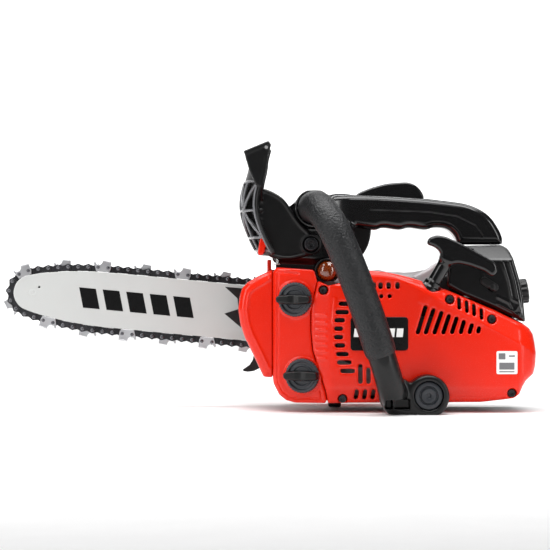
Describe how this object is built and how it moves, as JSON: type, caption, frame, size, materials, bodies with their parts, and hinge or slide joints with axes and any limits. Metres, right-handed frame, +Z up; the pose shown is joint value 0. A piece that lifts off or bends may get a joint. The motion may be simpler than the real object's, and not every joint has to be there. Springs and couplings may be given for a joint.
{
  "type": "top-handle chainsaw",
  "caption": "Top-handle petrol chainsaw with recoil starter, tubular front handle, chain-brake hand guard, guide bar with sprocket nose and full saw chain.",
  "frame": {"origin": "bottom centre of the bounding box, saw standing on its foot and pads", "axes": "-X towards the bar nose, -Y the starter side, +Y the clutch side, +Z up"},
  "size_m": [0.4944, 0.2242, 0.244],
  "materials": {
    "red_plastic": "glossy moulded plastic with a faint orange peel",
    "black_gloss": "glossy moulded nylon",
    "black_matte": "fine-textured moulded nylon",
    "cap_grey": "satin dark grey nylon",
    "rubber_black": "textured matte rubber",
    "bar_steel": "light grey lacquered steel",
    "chain_steel": "blackened steel with worn edges",
    "steel": "machined steel",
    "aluminium": "die-cast aluminium",
    "zinc_plate": "bright zinc plate",
    "amber_plastic": "clear amber rubber",
    "grey_plastic": "grey moulded plastic",
    "filter_felt": "flocked felt",
    "rope_cord": "braided cord"
  },
  "bodies": {
    "saw_body": {"guide_bar": "bar_steel", "saw_chain": "chain_steel", "brake_band": "steel", "main_bearing_clutch_side": "zinc_plate", "main_bearing_starter_side": "zinc_plate", "ignition_coil": "black_matte", "crankcase": "aluminium", "cylinder": "aluminium", "spark_plug": "zinc_plate", "plug_boot": "rubber_black", "muffler": "steel", "engine_housing": "black_matte", "oil_pump": "aluminium", "tank_housing": "red_plastic", "front_shroud": "red_plastic", "starter_cover": "red_plastic", "recoil_spring": "steel", "clutch_cover": "red_plastic", "bar_stud_1": "steel", "bar_stud_2": "steel", "bar_nut_1": "zinc_plate", "bar_nut_2": "zinc_plate", "tension_screw": "steel", "bumper_spike": "chain_steel", "chain_catcher": "aluminium", "top_handle": "black_gloss", "front_handle": "black_matte", "handle_grip": "rubber_black", "mount_rubber": "rubber_black", "mount_cap": "cap_grey", "guard_pivot_screw": "chain_steel", "intake_boot": "grey_plastic", "carburetor": "aluminium", "air_box": "black_matte", "air_filter": "filter_felt", "air_cleaner_cover": "black_gloss", "primer_base": "black_matte"},
    "hand_guard_body": {"hand_guard": "black_gloss"},
    "trigger_body": {"throttle_trigger": "black_matte"},
    "lockout_body": {"throttle_lockout": "black_gloss"},
    "stop_switch_body": {"stop_switch": "red_plastic"},
    "fuel_cap_body": {"fuel_cap": "cap_grey"},
    "oil_cap_body": {"oil_cap": "cap_grey"},
    "filter_knob_body": {"filter_knob": "black_matte"},
    "choke_body": {"choke_lever": "black_matte"},
    "primer_body": {"primer_bulb": "amber_plastic"},
    "starter_grip_body": {"starter_grip": "black_matte", "starter_rope": "rope_cord"},
    "starter_pulley_body": {"starter_pulley": "black_matte"},
    "crank_body": {"crankshaft_clutch_side": "steel", "crankshaft_starter_side": "steel", "flywheel": "aluminium", "clutch_hub": "steel"},
    "piston_body": {"piston": "aluminium", "wrist_pin": "steel", "connecting_rod": "steel", "crank_pin": "steel"},
    "drum_body": {"clutch_drum": "steel", "drive_sprocket": "steel"},
    "nose_sprocket_body": {"nose_sprocket": "steel"}
  },
  "joints": [
    {"name": "guard_pivot", "type": "hinge", "parent": "saw_body", "child": "hand_guard_body", "pos_m": [0.04443, 0.02012, 0.151], "axis": [0, -1, 0], "range_deg": [0, 11]},
    {"name": "throttle_squeeze", "type": "hinge", "parent": "saw_body", "child": "trigger_body", "pos_m": [0.08713, 0.02012, 0.176], "axis": [0, -1, 0], "range_deg": [0, 14], "stiffness_Nm_per_rad": 0.3, "springref_deg": -11.46},
    {"name": "lockout_press", "type": "hinge", "parent": "saw_body", "child": "lockout_body", "pos_m": [0.08613, 0.02012, 0.193], "axis": [0, 1, 0], "range_deg": [0, 6], "stiffness_Nm_per_rad": 0.3, "springref_deg": -11.46},
    {"name": "stop_switch_slide", "type": "slide", "parent": "saw_body", "child": "stop_switch_body", "axis": [1, 0, 0], "range_m": [0, 0.004]},
    {"name": "fuel_cap_turn", "type": "hinge", "parent": "saw_body", "child": "fuel_cap_body", "pos_m": [0.03013, -0.03992, 0.101], "axis": [-0.259, -0.9659, 0], "continuous": true},
    {"name": "oil_cap_turn", "type": "hinge", "parent": "saw_body", "child": "oil_cap_body", "pos_m": [0.03663, -0.04166, 0.0325], "axis": [-0.259, -0.9659, 0], "continuous": true},
    {"name": "filter_knob_turn", "type": "hinge", "parent": "saw_body", "child": "filter_knob_body", "pos_m": [0.23673, 0.01912, 0.1074], "axis": [0.9901, 0, 0.14], "continuous": true},
    {"name": "choke_turn", "type": "hinge", "parent": "saw_body", "child": "choke_body", "pos_m": [0.20813, -0.02588, 0.112], "axis": [0, -1, 0], "range_deg": [0, 45]},
    {"name": "primer_press", "type": "slide", "parent": "saw_body", "child": "primer_body", "axis": [0, 1, 0], "range_m": [0, 0.005], "stiffness_N_per_m": 800, "springref_m": -0.001},
    {"name": "starter_pull", "type": "slide", "parent": "saw_body", "child": "starter_grip_body", "axis": [0.5101, 0, 0.8601], "range_m": [0, 0.5], "stiffness_N_per_m": 8, "springref_m": -0.6, "deforming": ["starter_rope"]},
    {"name": "starter_pulley_spin", "type": "hinge", "parent": "saw_body", "child": "starter_pulley_body", "pos_m": [0.09513, -0.03988, 0.0763], "axis": [0, -1, 0], "range_deg": [-5, 960]},
    {"name": "crank_spin", "type": "hinge", "parent": "saw_body", "child": "crank_body", "pos_m": [0.09513, 0.02012, 0.0763], "axis": [0, 1, 0], "continuous": true},
    {"name": "piston_stroke", "type": "slide", "parent": "saw_body", "child": "piston_body", "axis": [-0.5737, 0, 0.8191], "range_m": [-0.014, 0.014]},
    {"name": "drum_spin", "type": "hinge", "parent": "saw_body", "child": "drum_body", "pos_m": [0.09513, 0.06512, 0.0763], "axis": [0, 1, 0], "continuous": true},
    {"name": "nose_sprocket_spin", "type": "hinge", "parent": "saw_body", "child": "nose_sprocket_body", "pos_m": [-0.22077, 0.07812, 0.10611], "axis": [0, 1, 0], "continuous": true}
  ],
  "couplings": [
    {"joint": "starter_pulley_spin", "follows": "starter_pull", "rad_per_m": 32.841},
    {"joint": "nose_sprocket_spin", "follows": "drum_spin", "ratio": 0.85714}
  ]
}
